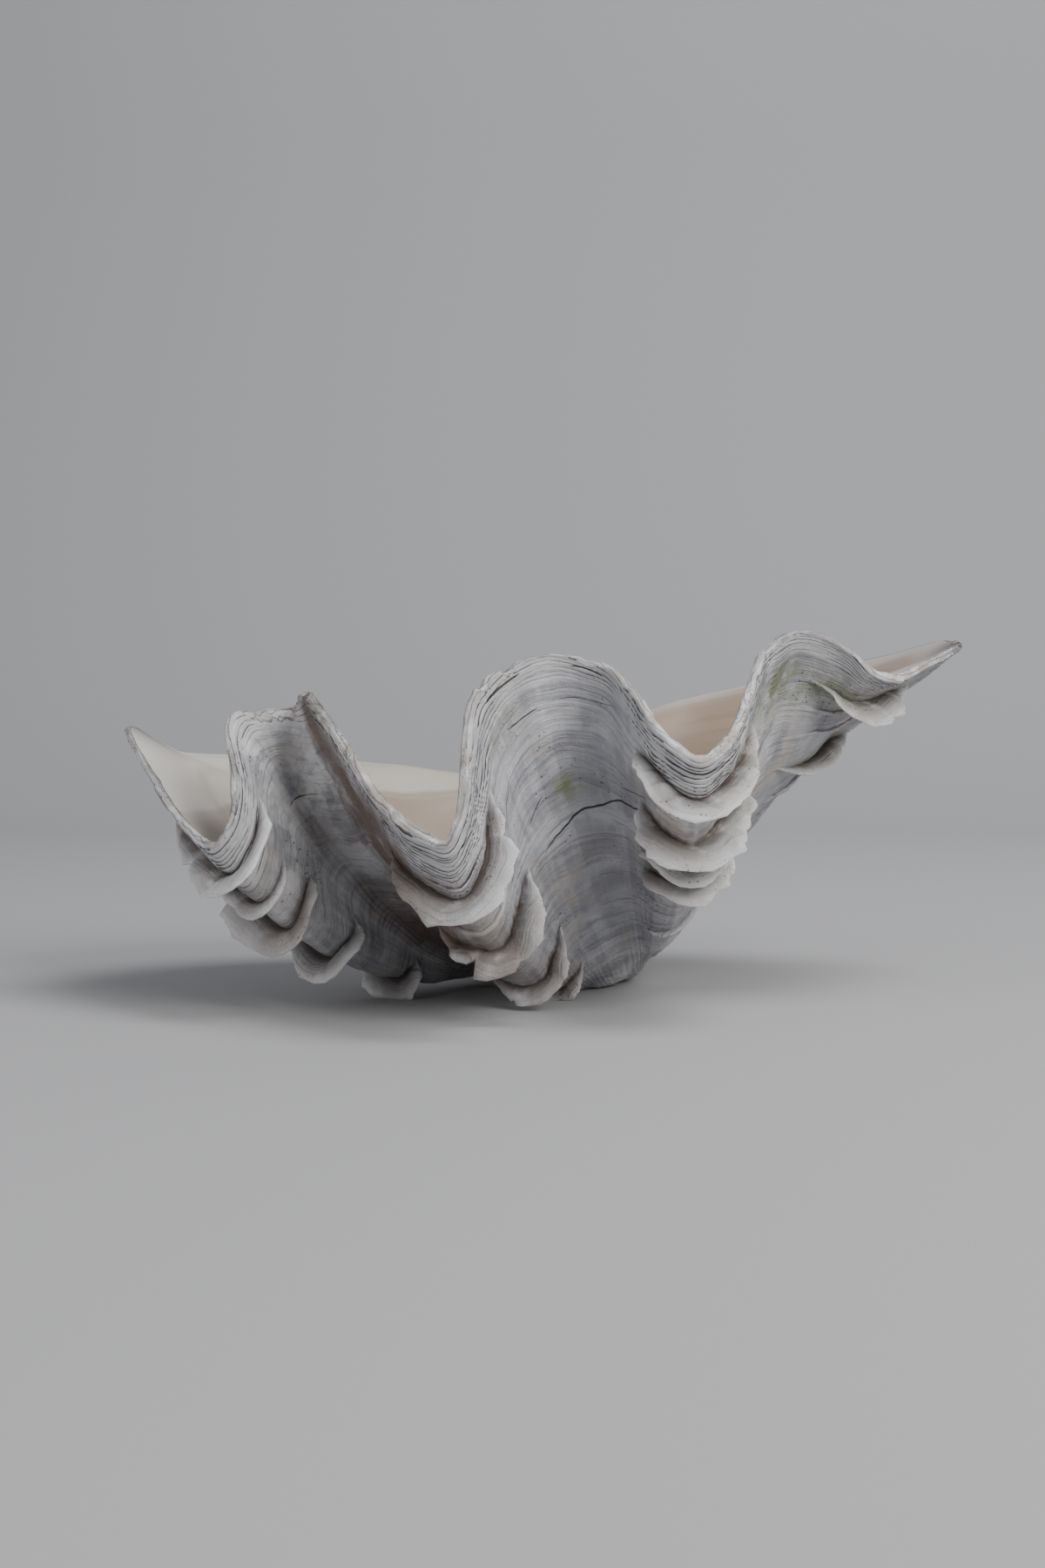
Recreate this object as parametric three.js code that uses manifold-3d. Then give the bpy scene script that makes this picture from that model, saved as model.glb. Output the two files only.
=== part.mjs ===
// One valve (half shell) of a fluted giant clam, lying hollow side up.
//
// A clam shell grows along its open edge, so every earlier edge is a smaller copy of the
// present one, turned about the hinge. The solid is made that way: the present margin is a
// closed loop, and each growth stage s (1 at the margin, 0 at the beak) is that loop scaled
// by s towards a pole and turned about the hinge axis by coil * -ln(s), a logarithmic spiral.
// The outside coils about the beak and the inside about the pocket under the hinge. Five
// rows of scutes, the leafy plates on the ribs, are folded out of the same outer skin.
//
// Millimetres. +X runs along the shell's length, +Y from the wavy margin back to the
// hinge, +Z up. The origin is the middle of the footprint box, on the resting plane.
import * as THREE from 'three';
import Module from 'manifold-3d';

// ---- Driving dimensions -------------------------------------------------------------

// How each skin grows: its pole, the turn per e-fold of size, the sideways roll of the
// hinge axis, how fast the folds die away towards the beak, the share of the belly
// corrections it takes, and how far it is drawn in from the margin's own spiral.
const OUTSIDE = {
  pole: new THREE.Vector3(40, 162, 97),
  coil: 1.15,
  roll: 15,
  fade: 2,
  belly: 1,
  drawnIn: 0,
};
const INSIDE = {
  pole: new THREE.Vector3(40, 150, 68),
  coil: 0.75,
  roll: 12,
  fade: 1.8,
  belly: 0.9,
  drawnIn: 8,
};

// The present margin, anticlockwise from the left tip: along the four ribs and three folds
// of the wavy front, then back along the smooth dorsal edge past the hinge.
const MARGIN = {
  leftTip: [-190, 45, 125],
  leftLobe: [-170, 5, 100],
  leftLobeFoot: [-154, -20, 83],
  rib1: [-136, -42, 75],
  rib1Rise: [-127, -42, 89],
  fold2Flank: [-127, -32, 109],
  fold2Shoulder: [-131, -22, 127],
  fold2Top: [-121, 5, 135],
  fold2Dip: [-107, 2, 137],
  fold2Prong: [-98, -28, 142],
  slopeHigh: [-80, -52, 119],
  slopeMid: [-62, -78, 97],
  slopeLow: [-45, -95, 84],
  rib2: [-31, -103, 80],
  rib2Rise: [-24, -98, 91],
  fold3Flank: [-22, -82, 117],
  fold3Shoulder: [-19, -65, 143],
  fold3Crown: [-6, -45, 155],
  fold3Top: [14, -32, 160],
  fold3Far: [34, -38, 156],
  fold3Fall: [47, -55, 142],
  rib3Drop: [58, -72, 125],
  rib3: [75, -78, 114],
  rib3Rise: [92, -60, 124],
  fold4Flank: [102, -38, 144],
  fold4Shoulder: [112, -15, 163],
  fold4Top: [133, 10, 171],
  fold4Far: [150, 12, 163],
  rib4Drop: [161, 10, 152],
  rib4: [175, 22, 148],
  rib4Rise: [194, 52, 155],
  rightTip: [219, 90, 166],
  backRightEnd: [212, 120, 167],
  backRightOuter: [183, 145, 160],
  backRightMid: [122, 165, 147],
  backRightInner: [68, 172, 133],
  hingeRight: [42, 170, 117],
  hinge: [19, 168, 103],
  hingeLeft: [-5, 165, 98],
  backLeftInner: [-30, 165, 99],
  backLeftMid: [-88, 155, 106],
  backLeftOuter: [-140, 130, 110],
  backLeftEnd: [-173, 90, 112],
};

// The plain, unfluted loop that the folds rise from. It follows the margin at these
// landmarks, apart from the two tips, where it lies lower.
const PLAIN_LOOP = {
  leftTip: [-176, 48, 104],
  rib1: MARGIN.rib1,
  rib2: MARGIN.rib2,
  rib3: MARGIN.rib3,
  rib4: MARGIN.rib4,
  rightTip: [212, 98, 158],
  backRightOuter: MARGIN.backRightOuter,
  backRightMid: MARGIN.backRightMid,
  backRightInner: MARGIN.backRightInner,
  hingeRight: MARGIN.hingeRight,
  hinge: MARGIN.hinge,
  hingeLeft: MARGIN.hingeLeft,
  backLeftInner: MARGIN.backLeftInner,
  backLeftMid: MARGIN.backLeftMid,
  backLeftOuter: MARGIN.backLeftOuter,
  backLeftEnd: MARGIN.backLeftEnd,
};

// Departures from the pure spiral: young swelling near the margin (x, z), then a shift
// of the belly half way to the beak (x, z).
const BELLY = {
  leftTip: [0, -6, 0, 0],
  rib1: [0, -16, 0, 0],
  fold2Top: [-4, -12, 0, 0],
  rib2: [-8, -5, 0, 3],
  fold3Top: [-4, 2, 0, -16],
  rib3: [-2, 2, -13, -10],
  fold4Top: [0, 10, -6, -4],
  rib4: [0, 18, -4, 2],
  rightTip: [0, 6, 0, 0],
  backRightOuter: [0, 0, 0, 0],
  backLeftOuter: [0, 0, 0, 0],
};

// The broken edge: its thickness, the share of it that lies below the margin line, and how
// far the inner edge stands forward as a hinge plate.
const EDGE = {
  leftTip: [3, 0, 0],
  leftLobeFoot: [4, 0, 0],
  rib1: [5, 0, 0],
  fold2Flank: [4, 0, 0],
  fold2Top: [3.2, 0, 0],
  fold2Prong: [3, 0, 0],
  slopeMid: [4.2, 0, 0],
  rib2: [5.5, 0, 0],
  fold3Flank: [4.5, 0, 0],
  fold3Top: [3.8, 0, 0],
  rib3Drop: [4.5, 0, 0],
  rib3: [5.5, 0, 0],
  fold4Flank: [4, 0, 0],
  fold4Top: [3.5, 0, 0],
  rib4: [4.5, 0, 0],
  rightTip: [3.5, 0.3, 0],
  backRightOuter: [6, 1, 0],
  backRightMid: [9, 1, 2],
  backRightInner: [12, 1, 7],
  hingeRight: [12, 0.8, 14],
  hinge: [10, 0.5, 17],
  hingeLeft: [12, 0.8, 14],
  backLeftInner: [12, 1, 8],
  backLeftMid: [10, 1, 3],
  backLeftOuter: [7, 1, 0],
  backLeftEnd: [5, 0.6, 0],
};

// Scutes, oldest row first: the growth stage of each row's root and how far its plate
// reaches, on ribs 1 to 4.
const RIBS = ['rib1', 'rib2', 'rib3', 'rib4'];
const SCUTE_ROWS = [
  { stage: [0.65, 0.6, 0.66, 0.66], reach: [13, 7, 3, 3] },
  { stage: [0.78, 0.68, 0.775, 0.715], reach: [15, 12, 15, 9] },
  { stage: [0.86, 0.8, 0.81, 0.8], reach: [19, 16, 15, 2] },
  { stage: [0.91, 0.86, 0.845, 0.86], reach: [13, 8, 20, 2] },
  { stage: [0.955, 0.915, 0.93, 0.92], reach: [14, 19, 16, 17] },
];
// How far the plates wrap round each rib, before and after its crest, along the margin.
const SCUTE_WRAP = { rib1: [60, 34], rib2: [50, 42], rib3: [40, 58], rib4: [40, 40] };
const SCUTE_ROOT = 0.006; // half the root's thickness, as a share of growth
const SCUTE_LEAN_ROOT = 1.05; // radians from square, leaning towards the margin
const SCUTE_LEAN_LIP = -0.1;
const SCUTE_TAPER = 1.6;
const SCUTE_EAR = 0.75; // how abruptly a plate ends round the rib

const MARGIN_STEP = 0.015; // stage step that measures the growth direction at the margin
const STAGE_STEP = 0.004; // the same on the skin
const NORMAL_BLUR = 8; // the edge's direction is averaged over this far each way, mm
const EDGE_ROUNDING = 2.5;
const RESTING_LEVEL = -2; // height at which the belly and the lowest scutes are worn flat
const SLAB = 40; // thickness of the slab that wears them

// Facets
const FRONT_COLUMNS = 74;
const BACK_COLUMNS = 18;
const ROWS_BETWEEN_SCUTES = [9, 2, 1, 1, 1, 2];
const ROWS_ON_SCUTE = 5;
const INNER_STAGES = [1, 0.96, 0.9, 0.82, 0.72, 0.61, 0.49, 0.37, 0.25, 0.13];

// ---- The loop and its tables ----------------------------------------------------------

const landmarkNames = Object.keys(MARGIN);
const landmarkCount = landmarkNames.length;
const plainNames = Object.keys(PLAIN_LOOP);
const loopPoint = ([x, y, z]) => new THREE.Vector3(x, y, z);
const closedCurve = (places) =>
  new THREE.CatmullRomCurve3(Object.values(places).map(loopPoint), true, 'centripetal');
const marginCurve = closedCurve(MARGIN);
const plainCurve = closedCurve(PLAIN_LOOP);
const marginLength = marginCurve.getLength();

const wrap = (value, period) => ((value % period) + period) % period;

// Place of t (in landmarks along the margin) between the named entries of a table, counted
// in that table's own entries.
function tableIndex(t, names) {
  const stops = names.map((name) => landmarkNames.indexOf(name));
  const place = wrap(t - stops[0], landmarkCount);
  for (let i = 0; i < stops.length; i += 1) {
    const from = stops[i] - stops[0];
    const next = i + 1 < stops.length ? stops[i + 1] - stops[0] : landmarkCount;
    if (place < next) return i + (place - from) / (next - from);
  }
  return stops.length;
}

// Values of a table at t, eased from each named entry to the next round the loop.
function lookUp(table, t) {
  const names = Object.keys(table);
  const index = tableIndex(t, names);
  const first = Math.floor(index) % names.length;
  const second = (first + 1) % names.length;
  const blend = THREE.MathUtils.smoothstep(index % 1, 0, 1);
  return table[names[first]].map((value, k) =>
    THREE.MathUtils.lerp(value, table[names[second]][k], blend));
}

// Landmark place t of a distance along the margin, and the distance of a landmark.
const placeAt = (distance) =>
  marginCurve.getUtoTmapping(wrap(distance, marginLength) / marginLength) * landmarkCount;
const lengthTable = marginCurve.getLengths(landmarkCount * 40);
function distanceOf(name) {
  return lengthTable[landmarkNames.indexOf(name) * 40];
}

// ---- Growth ----------------------------------------------------------------------------

const hingeAxis = (roll) => {
  const angle = THREE.MathUtils.degToRad(roll);
  return new THREE.Vector3(Math.cos(angle), 0, Math.sin(angle));
};

// A point of one skin at growth stage s, from the margin and plain-loop points of a column.
function grow(law, column, s) {
  const drawn = law.drawnIn * 4 * s * (1 - s);
  const point = column.plain.clone()
    .lerp(column.margin, s ** law.fade)
    .addScaledVector(column.normal, -drawn)
    .sub(law.pole)
    .applyAxisAngle(hingeAxis(law.roll), -law.coil * Math.log(s))
    .multiplyScalar(s)
    .add(law.pole);
  const young = law.belly * s ** 3 * (1 - s) * 9.48;
  const middle = law.belly * (4 * s * (1 - s)) ** 2;
  const [youngX, youngZ, middleX, middleZ] = column.belly;
  point.x += youngX * young + middleX * middle;
  point.z += youngZ * young + middleZ * middle;
  return point;
}

// Column of the outer skin before the edge has its thickness.
function bareColumn(t) {
  return {
    margin: marginCurve.getPoint(wrap(t, landmarkCount) / landmarkCount),
    plain: plainCurve.getPoint(tableIndex(t, plainNames) / plainNames.length),
    normal: new THREE.Vector3(),
    belly: lookUp(BELLY, t),
  };
}

// Growth direction and outward normal of the shell wall at its margin.
function wallDirections(t) {
  const column = bareColumn(t);
  const growth = grow(OUTSIDE, column, 1).sub(grow(OUTSIDE, column, 1 - MARGIN_STEP)).normalize();
  const along = marginCurve.getTangent(wrap(t, landmarkCount) / landmarkCount);
  return { growth, normal: along.cross(growth).normalize() };
}

// Everything that stays the same down one column, at a distance along the margin.
function makeColumn(distance) {
  const growth = new THREE.Vector3();
  const normal = new THREE.Vector3();
  for (const offset of [-NORMAL_BLUR, 0, NORMAL_BLUR]) {
    const sample = wallDirections(placeAt(distance + offset));
    growth.add(sample.growth);
    normal.add(sample.normal);
  }
  growth.normalize();
  normal.normalize();
  const t = placeAt(distance);
  const bare = bareColumn(t);
  const [thickness, shareBelow, plate] = lookUp(EDGE, t);
  const outerShift = normal.clone().multiplyScalar(thickness * shareBelow);
  const innerShift = normal.clone().multiplyScalar(-thickness * (1 - shareBelow));
  innerShift.y -= plate;
  const skin = (shift) => ({
    margin: bare.margin.clone().add(shift),
    plain: bare.plain.clone().add(shift),
    normal,
    belly: bare.belly,
  });
  return { distance, t, growth, outer: skin(outerShift), inner: skin(innerShift) };
}

// ---- Scutes ------------------------------------------------------------------------------

// Growth stage of a scute row's root at t.
function scuteStage(row, t) {
  const table = Object.fromEntries(RIBS.map((rib, k) => [rib, [row.stage[k]]]));
  return lookUp(table, t)[0];
}

// Reach of a scute row's plates: full on each rib's crest, falling to nothing round it.
function scuteReach(row, distance) {
  let reach = 0;
  RIBS.forEach((rib, k) => {
    const half = marginLength / 2;
    const gap = wrap(distance - distanceOf(rib) + half, marginLength) - half;
    const share = gap / SCUTE_WRAP[rib][gap < 0 ? 0 : 1];
    reach += row.reach[k] * Math.max(0, 1 - share ** 2) ** SCUTE_EAR;
  });
  return reach;
}

// Offset of a plate at a share of its height: it leaves the rib leaning towards the margin
// and curls outwards, an arc from the root's lean to the lip's.
function scuteOffset(reach, height, normal, growth) {
  const lean = THREE.MathUtils.lerp(SCUTE_LEAN_ROOT, SCUTE_LEAN_LIP, height);
  const sweep = SCUTE_LEAN_ROOT - SCUTE_LEAN_LIP;
  const out = (reach * (Math.sin(SCUTE_LEAN_ROOT) - Math.sin(lean))) / sweep;
  const forward = (reach * (Math.cos(lean) - Math.cos(SCUTE_LEAN_ROOT))) / sweep;
  return normal.clone().multiplyScalar(out).addScaledVector(growth, forward);
}

// ---- Rows of points down one column -----------------------------------------------------

const evenSteps = (count) => Array.from({ length: count }, (_, i) => i / (count - 1));

// Points of the outer skin from beak to margin, scutes included.
function outerPoints(column, neighbours) {
  const points = [];
  const plainRows = (from, to, count) => {
    for (let i = 1; i <= count; i += 1) {
      points.push(grow(OUTSIDE, column.outer, from + ((to - from) * i) / (count + 1)));
    }
  };
  let reached = 0;
  SCUTE_ROWS.forEach((row, k) => {
    const root = scuteStage(row, column.t);
    const reach = scuteReach(row, column.distance);
    plainRows(reached, root - SCUTE_ROOT, ROWS_BETWEEN_SCUTES[k]);
    for (const step of evenSteps(ROWS_ON_SCUTE)) {
      const across = 2 * step - 1;
      const stage = root + SCUTE_ROOT * across;
      const point = grow(OUTSIDE, column.outer, stage);
      const growth = point.clone().sub(grow(OUTSIDE, column.outer, stage - STAGE_STEP)).normalize();
      const along = grow(OUTSIDE, neighbours[1].outer, stage).sub(grow(OUTSIDE, neighbours[0].outer, stage));
      const normal = along.cross(growth).normalize();
      points.push(point.add(scuteOffset(reach, 1 - Math.abs(across) ** SCUTE_TAPER, normal, growth)));
    }
    reached = root + SCUTE_ROOT;
  });
  plainRows(reached, 1, ROWS_BETWEEN_SCUTES[SCUTE_ROWS.length]);
  points.push(grow(OUTSIDE, column.outer, 1));
  return points;
}

// The middle of the rounded edge.
function edgePoint(column) {
  const across = column.inner.margin.clone().sub(column.outer.margin);
  const bulge = Math.min(across.length() / 2, EDGE_ROUNDING);
  return column.outer.margin.clone().addScaledVector(across, 0.5).addScaledVector(column.growth, bulge);
}

const innerPoints = (column) => INNER_STAGES.map((s) => grow(INSIDE, column.inner, s));

// ---- Solid ---------------------------------------------------------------------------------

// Columns round the loop: close together on the wavy front, wider apart along the back.
function columnDistances() {
  const front = distanceOf('rightTip');
  const back = marginLength - front;
  const frontPlaces = Array.from({ length: FRONT_COLUMNS }, (_, i) => (front * i) / FRONT_COLUMNS);
  const backPlaces = Array.from({ length: BACK_COLUMNS }, (_, i) => front + (back * i) / BACK_COLUMNS);
  return [...frontPlaces, ...backPlaces];
}

// Closed surface: the outer pole, rings of points from beak to edge and in to the inner pole.
function closedSurface() {
  const distances = columnDistances();
  const columns = distances.map(makeColumn);
  const size = columns.length;
  const lines = columns.map((column, i) => {
    const neighbours = [columns[(i + size - 1) % size], columns[(i + 1) % size]];
    return [...outerPoints(column, neighbours), edgePoint(column), ...innerPoints(column)];
  });
  const rows = lines[0].length;
  const vertices = [OUTSIDE.pole, ...lines.flat(), INSIDE.pole];
  const at = (i, row) => 1 + (i % size) * rows + row;
  const faces = [];
  for (let i = 0; i < size; i += 1) {
    faces.push([0, at(i + 1, 0), at(i, 0)]);
    for (let row = 0; row + 1 < rows; row += 1) {
      faces.push([at(i, row), at(i + 1, row), at(i + 1, row + 1)]);
      faces.push([at(i, row), at(i + 1, row + 1), at(i, row + 1)]);
    }
    faces.push([at(i, rows - 1), at(i + 1, rows - 1), vertices.length - 1]);
  }
  return { vertices: vertices.flatMap((v) => v.toArray()), faces: faces.flat() };
}

const wasm = await Module();
wasm.setup();

function toSolid(vertices, faces) {
  return new wasm.Manifold(new wasm.Mesh({
    numProp: 3,
    vertProperties: new Float32Array(vertices),
    triVerts: new Uint32Array(faces),
  }));
}

// Slab under the resting level, wide enough to wear every low point flat.
function wearingSlab(box) {
  const size = box.getSize(new THREE.Vector3());
  const centre = box.getCenter(new THREE.Vector3());
  const slab = new THREE.BoxGeometry(2 * size.x, 2 * size.y, SLAB);
  slab.translate(centre.x, centre.y, RESTING_LEVEL - SLAB / 2);
  const corners = slab.getAttribute('position');
  const key = (i) => [corners.getX(i), corners.getY(i), corners.getZ(i)].join();
  const keys = Array.from({ length: corners.count }, (_, i) => key(i));
  const unique = [...new Set(keys)];
  const vertices = unique.flatMap((text) => text.split(',').map(Number));
  return toSolid(vertices, Array.from(slab.getIndex().array, (i) => unique.indexOf(keys[i])));
}

const surface = closedSurface();
const box = new THREE.Box3().setFromArray(surface.vertices);
const worn = toSolid(surface.vertices, surface.faces).subtract(wearingSlab(box)).getMesh();

const geometry = new THREE.BufferGeometry();
geometry.setAttribute('position', new THREE.BufferAttribute(worn.vertProperties, 3));
geometry.setIndex(new THREE.BufferAttribute(worn.triVerts, 1));
geometry.computeBoundingBox();
const footprint = geometry.boundingBox.getCenter(new THREE.Vector3());
geometry.translate(-footprint.x, -footprint.y, -geometry.boundingBox.min.z);
geometry.computeVertexNormals();

const chalkyShell = new THREE.MeshStandardMaterial({ color: 0xd9d6d2, roughness: 0.7, metalness: 0 });
const valve = new THREE.Mesh(geometry, chalkyShell);
valve.name = 'valve';

const clamShell = new THREE.Group();
clamShell.add(valve);

export default clamShell;
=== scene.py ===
"""Looks of one valve of a fluted giant clam, lying hollow side up in a plain studio.

The valve is one closed surface on a grid of columns (round the margin) and rows (from the
beak, out over the ribs and scutes to the margin, over the broken edge, and in to the
pocket under the hinge). Each growth stage is the margin loop scaled towards a pole and
turned about the hinge axis, a logarithmic spiral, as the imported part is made.
"""

import logging
from dataclasses import dataclass, field
from enum import Enum
from functools import cached_property

import bpy
import numpy as np
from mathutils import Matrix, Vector


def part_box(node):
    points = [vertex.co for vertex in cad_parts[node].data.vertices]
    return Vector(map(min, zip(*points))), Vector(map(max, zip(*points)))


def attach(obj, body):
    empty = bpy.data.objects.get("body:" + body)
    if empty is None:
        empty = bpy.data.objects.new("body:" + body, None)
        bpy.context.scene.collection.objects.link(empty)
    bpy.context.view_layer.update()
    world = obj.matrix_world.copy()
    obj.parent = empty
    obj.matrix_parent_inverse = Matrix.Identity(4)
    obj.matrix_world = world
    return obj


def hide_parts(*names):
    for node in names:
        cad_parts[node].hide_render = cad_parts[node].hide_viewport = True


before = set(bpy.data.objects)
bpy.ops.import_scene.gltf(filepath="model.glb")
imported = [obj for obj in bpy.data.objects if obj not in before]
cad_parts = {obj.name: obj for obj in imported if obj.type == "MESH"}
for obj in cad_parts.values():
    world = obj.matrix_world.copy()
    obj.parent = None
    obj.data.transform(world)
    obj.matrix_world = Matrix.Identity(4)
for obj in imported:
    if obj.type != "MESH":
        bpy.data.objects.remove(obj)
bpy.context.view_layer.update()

MM = 0.001
log = logging.getLogger("clam")

Array = np.ndarray
Colour = tuple[float, float, float, float]
PerRib = tuple[float, float, float, float]
Socket = bpy.types.NodeSocket
Table = dict[str, tuple[float, ...]]

# The present margin in millimetres, anticlockwise from the left tip: along the four ribs
# and three folds of the wavy front, then back along the smooth dorsal edge past the hinge.
MARGIN: Table = {
    "left_tip": (-190, 45, 125),
    "left_lobe": (-170, 5, 100),
    "left_lobe_foot": (-154, -20, 83),
    "rib1": (-136, -42, 75),
    "rib1_rise": (-127, -42, 89),
    "fold2_flank": (-127, -32, 109),
    "fold2_shoulder": (-131, -22, 131),
    "fold2_top": (-121, 5, 137),
    "fold2_dip": (-107, 2, 137),
    "fold2_prong": (-98, -28, 142),
    "slope_high": (-80, -52, 119),
    "slope_mid": (-62, -78, 97),
    "slope_low": (-45, -95, 84),
    "rib2": (-31, -103, 80),
    "rib2_rise": (-24, -98, 91),
    "fold3_flank": (-22, -82, 117),
    "fold3_shoulder": (-19, -65, 143),
    "fold3_crown": (-6, -45, 155),
    "fold3_top": (14, -32, 160),
    "fold3_far": (34, -38, 156),
    "fold3_fall": (47, -55, 142),
    "rib3_drop": (58, -72, 125),
    "rib3": (75, -78, 114),
    "rib3_rise": (92, -60, 124),
    "fold4_flank": (102, -38, 144),
    "fold4_shoulder": (112, -15, 163),
    "fold4_top": (133, 10, 171),
    "fold4_far": (150, 12, 163),
    "rib4_drop": (161, 10, 152),
    "rib4": (175, 22, 148),
    "rib4_rise": (194, 52, 155),
    "right_tip": (219, 90, 166),
    "back_right_end": (212, 120, 167),
    "back_right_outer": (183, 145, 160),
    "back_right_mid": (122, 165, 147),
    "back_right_inner": (68, 172, 133),
    "hinge_right": (42, 170, 117),
    "hinge": (19, 168, 103),
    "hinge_left": (-5, 165, 98),
    "back_left_inner": (-30, 165, 99),
    "back_left_mid": (-88, 155, 106),
    "back_left_outer": (-140, 130, 110),
    "back_left_end": (-173, 90, 112),
}

# The plain, unfluted loop that the folds rise from: it leaves the margin at the two tips.
PLAIN_TIPS: Table = {"left_tip": (-176, 48, 104), "right_tip": (212, 98, 158)}
PLAIN_NAMES = (
    "left_tip", "rib1", "rib2", "rib3", "rib4", "right_tip", "back_right_outer",
    "back_right_mid", "back_right_inner", "hinge_right", "hinge", "hinge_left",
    "back_left_inner", "back_left_mid", "back_left_outer", "back_left_end",
)

# Departures from the pure spiral: young swelling (x, z), then a shift of the belly (x, z).
BELLY: Table = {
    "left_tip": (0, -6, 0, 0),
    "rib1": (0, -16, 0, 0),
    "fold2_top": (-4, -12, 0, 0),
    "rib2": (-8, -5, 0, 3),
    "fold3_top": (-4, 2, 0, -16),
    "rib3": (-2, 2, -13, -10),
    "fold4_top": (0, 10, -6, -4),
    "rib4": (0, 18, -4, 2),
    "right_tip": (0, 6, 0, 0),
    "back_right_outer": (0, 0, 0, 0),
    "back_left_outer": (0, 0, 0, 0),
}

# Broken edge: thickness, share of it below the margin line, forward width of hinge plate.
EDGE: Table = {
    "left_tip": (3, 0, 0),
    "left_lobe_foot": (4, 0, 0),
    "rib1": (5, 0, 0),
    "fold2_flank": (4, 0, 0),
    "fold2_top": (3.2, 0, 0),
    "fold2_prong": (4.5, 0, 0),
    "slope_high": (5.5, 0, 0),
    "slope_mid": (5, 0, 0),
    "rib2": (5.5, 0, 0),
    "fold3_flank": (4.5, 0, 0),
    "fold3_top": (3.8, 0, 0),
    "rib3_drop": (4.5, 0, 0),
    "rib3": (5.5, 0, 0),
    "fold4_flank": (4, 0, 0),
    "fold4_top": (3.5, 0, 0),
    "rib4": (4.5, 0, 0),
    "right_tip": (3.5, 0.3, 0),
    "back_right_outer": (6, 1, 0),
    "back_right_mid": (9, 1, 2),
    "back_right_inner": (12, 1, 7),
    "hinge_right": (12, 0.8, 14),
    "hinge": (10, 0.5, 17),
    "hinge_left": (12, 0.8, 14),
    "back_left_inner": (12, 1, 8),
    "back_left_mid": (10, 1, 3),
    "back_left_outer": (7, 1, 0),
    "back_left_end": (5, 0.6, 0),
}


# Where the columns stand closer: how far round the place (mm), and how much closer.
CLOSER = {"fold2_dip": (40, 0.9), "right_tip": (22, 1.2)}

# Places where thin leaves crowd under the edge, and how far they spread from there (mm).
CROWDED = {"rib1": 50, "rib2": 48, "fold3_flank": 40, "rib3": 55, "rib4": 50}


class Rib(Enum):
    """The four ribs, and how far scutes wrap round each, before and after its crest (mm)."""

    FIRST = ("rib1", 66.0, 48.0)
    SECOND = ("rib2", 58.0, 56.0)
    THIRD = ("rib3", 50.0, 68.0)
    FOURTH = ("rib4", 50.0, 48.0)


@dataclass(frozen=True)
class ScuteRow:
    """One row of leafy plates: each rib's growth stage at the root, reach in mm, and how
    far the plates sit past the crest along the margin, in mm."""

    stage: PerRib
    reach: PerRib
    shift: PerRib


@dataclass(frozen=True)
class Chip:
    """A bite out of the edge: landmark, offset along the margin, width, depth, and how much
    deeper it is on the outer skin than on the inner one (mm)."""

    near: str
    offset: float
    width: float
    depth: float
    bevel: float = 0.0


@dataclass(frozen=True)
class Crack:
    """A dark crack along the growth lines: landmark, where it starts and ends from there
    (mm), growth stage at both ends, and half width (mm)."""

    near: str
    start: float
    end: float
    stages: tuple[float, float]
    half_width: float


class Marking(Enum):
    """What marks the outside in patches, by the name of its painted value. The brown patches
    are soil, and painted shade in the second fold's valley; the pale ones are bare chalk, and
    painted light on the second fold's face.
    """

    GREEN = "algae"
    BROWN = "soil"
    GREY = "weather"
    PALE = "bare"


@dataclass(frozen=True)
class Patch:
    """A marked patch: landmark, offset along the margin (mm), growth stage, length along
    the margin and width along the ribs (mm), and strength."""

    near: str
    offset: float
    stage: float
    length: float
    width: float
    strength: float


@dataclass(frozen=True)
class GrowthLaw:
    """How a skin grows: pole (mm), turn per e-fold (radians), roll of the hinge axis out of
    +X (degrees), fading of the folds, share of the belly corrections, and how far the middle
    is drawn in (mm)."""

    pole: tuple[float, float, float]
    coil: float
    roll: float
    fade: float
    belly: float
    drawn_in: float

    def axis(self) -> Array:
        """Unit vector of the hinge axis."""
        angle = np.radians(self.roll)
        return np.array([np.cos(angle), 0, np.sin(angle)])


def unit(vectors: Array) -> Array:
    """Vectors along the last axis, each divided by its length."""
    return vectors / (np.linalg.norm(vectors, axis=-1, keepdims=True) + 1e-12)


def normals(points: Array, along: Array) -> Array:
    """Unit normals of a grid closed round its columns, from directions along its rows."""
    return unit(np.cross(np.roll(points, -1, 0) - np.roll(points, 1, 0), along))


def turned(vectors: Array, axis: Array, angle: Array) -> Array:
    """Vectors turned about an axis: v cos + (axis x v) sin + axis (axis . v)(1 - cos).

    Args:
        vectors: points about the pole, last axis xyz.
        axis: unit vector.
        angle: one angle per vector, radians.

    Returns:
        The turned vectors.
    """
    cos, sin = np.cos(angle)[..., None], np.sin(angle)[..., None]
    along = axis * (vectors @ axis)[..., None]
    return vectors * cos + np.cross(axis, vectors) * sin + along * (1 - cos)


def wander(places: Array, scale: float, seed: int, waves: int = 12) -> Array:
    """Smooth random field: a mean of sine waves of random directions and phases.

    Args:
        places: sample places, last axis the coordinates.
        scale: typical distance between highs, in the units of places.
        seed: fixes the waves.
        waves: how many are summed.

    Returns:
        Values of about -1 to 1.
    """
    random = np.random.default_rng(seed)
    directions = unit(random.normal(size=(waves, places.shape[-1])))
    pitch = 2 * np.pi / scale * random.uniform(0.6, 1.6, waves)
    phases = random.uniform(0, 2 * np.pi, waves)
    return np.sin(places @ (directions * pitch[:, None]).T + phases).sum(-1) / np.sqrt(waves * 1.4)


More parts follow.
